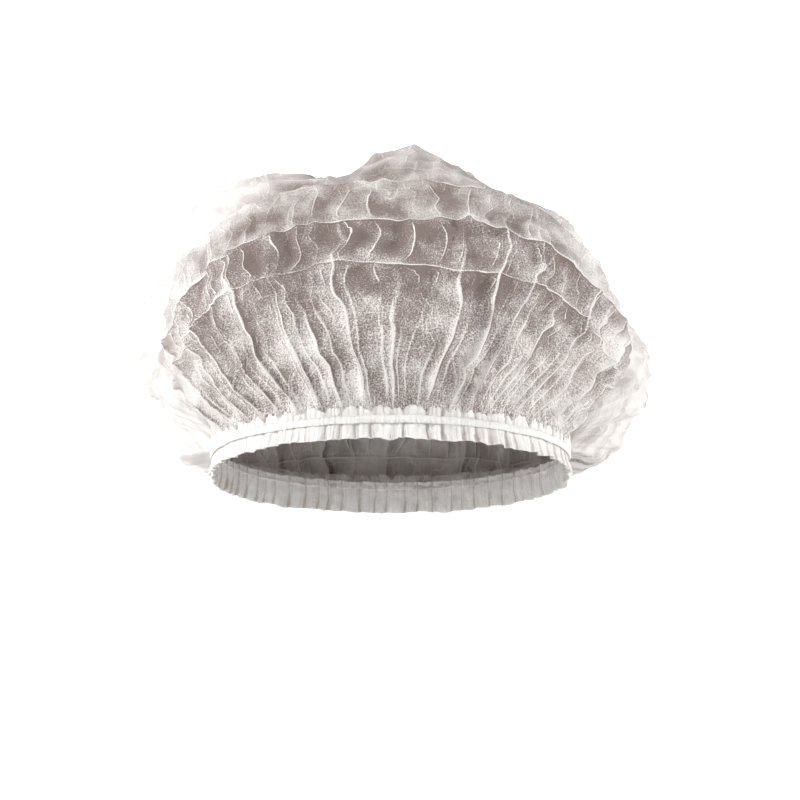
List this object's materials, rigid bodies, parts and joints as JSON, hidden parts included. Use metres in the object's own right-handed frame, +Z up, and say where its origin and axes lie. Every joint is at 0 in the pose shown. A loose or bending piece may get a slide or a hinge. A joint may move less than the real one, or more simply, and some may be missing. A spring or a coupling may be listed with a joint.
{
  "type": "disposable hair cover cap",
  "caption": "Disposable pleated hair cover cap of thin nonwoven cloth: a puffed crown gathered into an elasticated frilled hem, held open as it sits on a head.",
  "frame": {"origin": "middle of the elastic ring that grips the head, between the two welded tabs", "axes": "+Z up out of the crown, the wearer faces -Y, +X to the wearer's left as seen in the picture's right"},
  "size_m": [0.2608, 0.2405, 0.1851],
  "materials": {
    "crown_cloth": "thin white nonwoven, slightly see-through",
    "hem_cloth": "doubled white nonwoven, gathered",
    "elastic": "white covered elastic strip",
    "welded_cloth": "stacked white pleats, welded"
  },
  "bodies": {
    "root": {"crown": "crown_cloth", "hem_front": "hem_cloth", "hem_back": "hem_cloth", "elastic_front": "elastic", "elastic_back": "elastic", "seal_left": "welded_cloth", "seal_right": "welded_cloth"}
  },
  "joints": []
}
